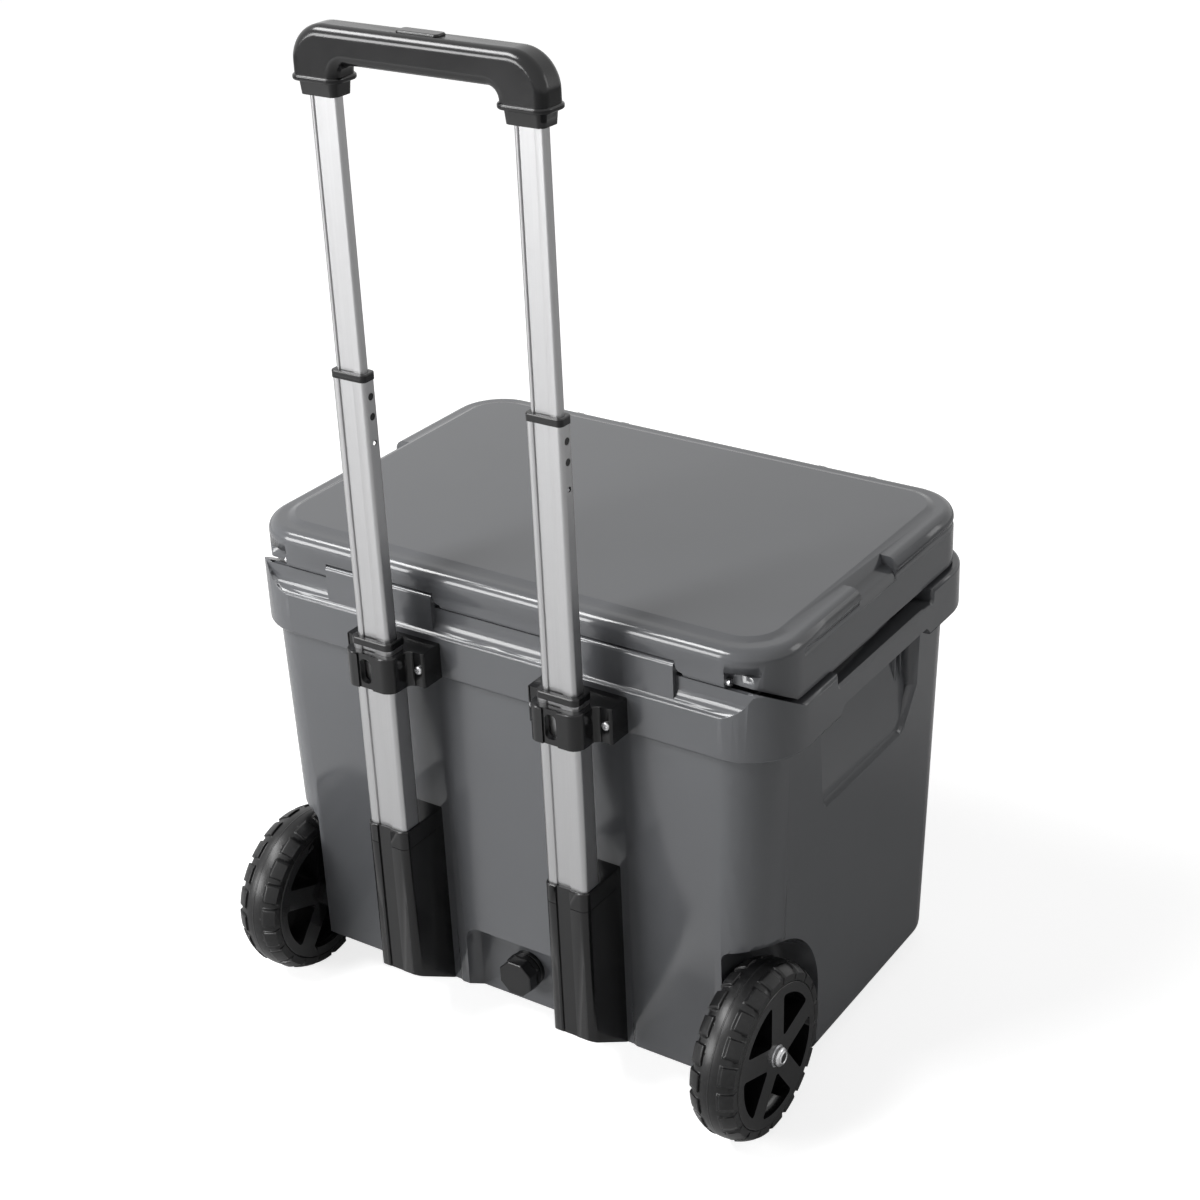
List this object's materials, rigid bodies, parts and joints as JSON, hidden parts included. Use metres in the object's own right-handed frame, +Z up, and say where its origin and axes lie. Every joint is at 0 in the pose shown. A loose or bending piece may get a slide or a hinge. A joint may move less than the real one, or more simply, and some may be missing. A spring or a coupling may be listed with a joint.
{
  "type": "wheeled hard cooler",
  "caption": "Insulated hard cooler with a hinged lid, side grab bars, rubber latches, drain plug, wheels at one end and a telescopic pull handle.",
  "frame": {"origin": "on the ground, under the middle of the bounding box", "axes": "+Z up; +Y towards the wheels and pull handle, -Y towards the latches; +X towards the cooler's own left side"},
  "size_m": [0.606, 0.4964, 1.018],
  "materials": {
    "shell_plastic": "satin rotomoulded charcoal grey",
    "foam": "rigid foam",
    "gasket_rubber": "matte black",
    "latch_rubber": "matte black",
    "black_plastic": "fine-grained black",
    "tyre_rubber": "matte black with a slight sheen",
    "tube_aluminium": "satin anodised",
    "bright_steel": "zinc plated"
  },
  "bodies": {
    "root": {"tub": "shell_plastic", "tub_foam": "foam", "drain_fitting": "black_plastic", "left_socket": "black_plastic", "right_socket": "black_plastic", "left_base_tube": "tube_aluminium", "right_base_tube": "tube_aluminium", "left_bracket": "black_plastic", "right_bracket": "black_plastic", "left_base_guide": "black_plastic", "right_base_guide": "black_plastic", "left_axle": "bright_steel", "right_axle": "bright_steel", "left_washer": "bright_steel", "right_washer": "bright_steel", "left_push_cap": "bright_steel", "right_push_cap": "bright_steel", "left_wheel_spacer": "black_plastic", "right_wheel_spacer": "black_plastic", "left_hinge_pin": "bright_steel", "right_hinge_pin": "bright_steel", "left_foot": "gasket_rubber", "right_foot": "gasket_rubber"},
    "lid": {"lid": "shell_plastic", "lid_foam": "foam", "lid_gasket": "gasket_rubber", "left_latch_pin": "bright_steel", "right_latch_pin": "bright_steel"},
    "left_latch": {"left_latch": "latch_rubber"},
    "right_latch": {"right_latch": "latch_rubber"},
    "left_wheel": {"left_wheel_rim": "black_plastic", "left_tyre": "tyre_rubber"},
    "right_wheel": {"right_wheel_rim": "black_plastic", "right_tyre": "tyre_rubber"},
    "left_stage": {"left_middle_tube": "tube_aluminium", "left_top_guide": "black_plastic", "left_middle_glide": "black_plastic"},
    "right_stage": {"right_middle_tube": "tube_aluminium", "right_top_guide": "black_plastic", "right_middle_glide": "black_plastic"},
    "handle": {"grip": "black_plastic", "button_spring": "bright_steel", "left_inner_tube": "tube_aluminium", "right_inner_tube": "tube_aluminium", "left_inner_glide": "black_plastic", "right_inner_glide": "black_plastic", "left_lock_housing": "black_plastic", "right_lock_housing": "black_plastic", "left_lock_pin": "bright_steel", "right_lock_pin": "bright_steel"},
    "button": {"button": "black_plastic", "release_rod": "bright_steel"},
    "drain_carrier": {"drain_seal": "gasket_rubber"},
    "drain_plug": {"drain_plug": "black_plastic"}
  },
  "joints": [
    {"name": "lid_hinge", "type": "hinge", "parent": "root", "child": "lid", "pos_m": [0, 0.161, 0.4705], "axis": [-1, 0, 0], "range_deg": [0, 88]},
    {"name": "left_latch_hinge", "type": "hinge", "parent": "lid", "child": "left_latch", "pos_m": [0.15, -0.238, 0.487], "axis": [-1, 0, 0], "range_deg": [-4, 70]},
    {"name": "right_latch_hinge", "type": "hinge", "parent": "lid", "child": "right_latch", "pos_m": [-0.15, -0.238, 0.487], "axis": [-1, 0, 0], "range_deg": [-4, 70]},
    {"name": "left_wheel_spin", "type": "hinge", "parent": "root", "child": "left_wheel", "pos_m": [0.2705, 0.162, 0.0862], "axis": [-1, 0, 0], "continuous": true},
    {"name": "right_wheel_spin", "type": "hinge", "parent": "root", "child": "right_wheel", "pos_m": [-0.2705, 0.162, 0.0862], "axis": [-1, 0, 0], "continuous": true},
    {"name": "left_stage_slide", "type": "slide", "parent": "root", "child": "left_stage", "axis": [0, 0, 1], "range_m": [-0.255, 0]},
    {"name": "right_stage_slide", "type": "slide", "parent": "root", "child": "right_stage", "axis": [0, 0, 1], "range_m": [-0.255, 0]},
    {"name": "handle_slide", "type": "slide", "parent": "left_stage", "child": "handle", "axis": [0, 0, 1], "range_m": [-0.245, 0]},
    {"name": "button_press", "type": "slide", "parent": "handle", "child": "button", "axis": [0, 0, 1], "range_m": [-0.004, 0], "stiffness_N_per_m": 600, "springref_m": 0.006, "deforming": ["button_spring"]},
    {"name": "drain_thread", "type": "slide", "parent": "root", "child": "drain_carrier", "axis": [0, 1, 0], "range_m": [0, 0.012]},
    {"name": "drain_turn", "type": "hinge", "parent": "drain_carrier", "child": "drain_plug", "pos_m": [0, 0.152, 0.07], "axis": [0, 1, 0], "range_deg": [0, 1080]}
  ],
  "couplings": [
    {"joint": "right_stage_slide", "follows": "left_stage_slide", "ratio": 1},
    {"joint": "drain_turn", "follows": "drain_thread", "rad_per_m": 1570.8}
  ]
}
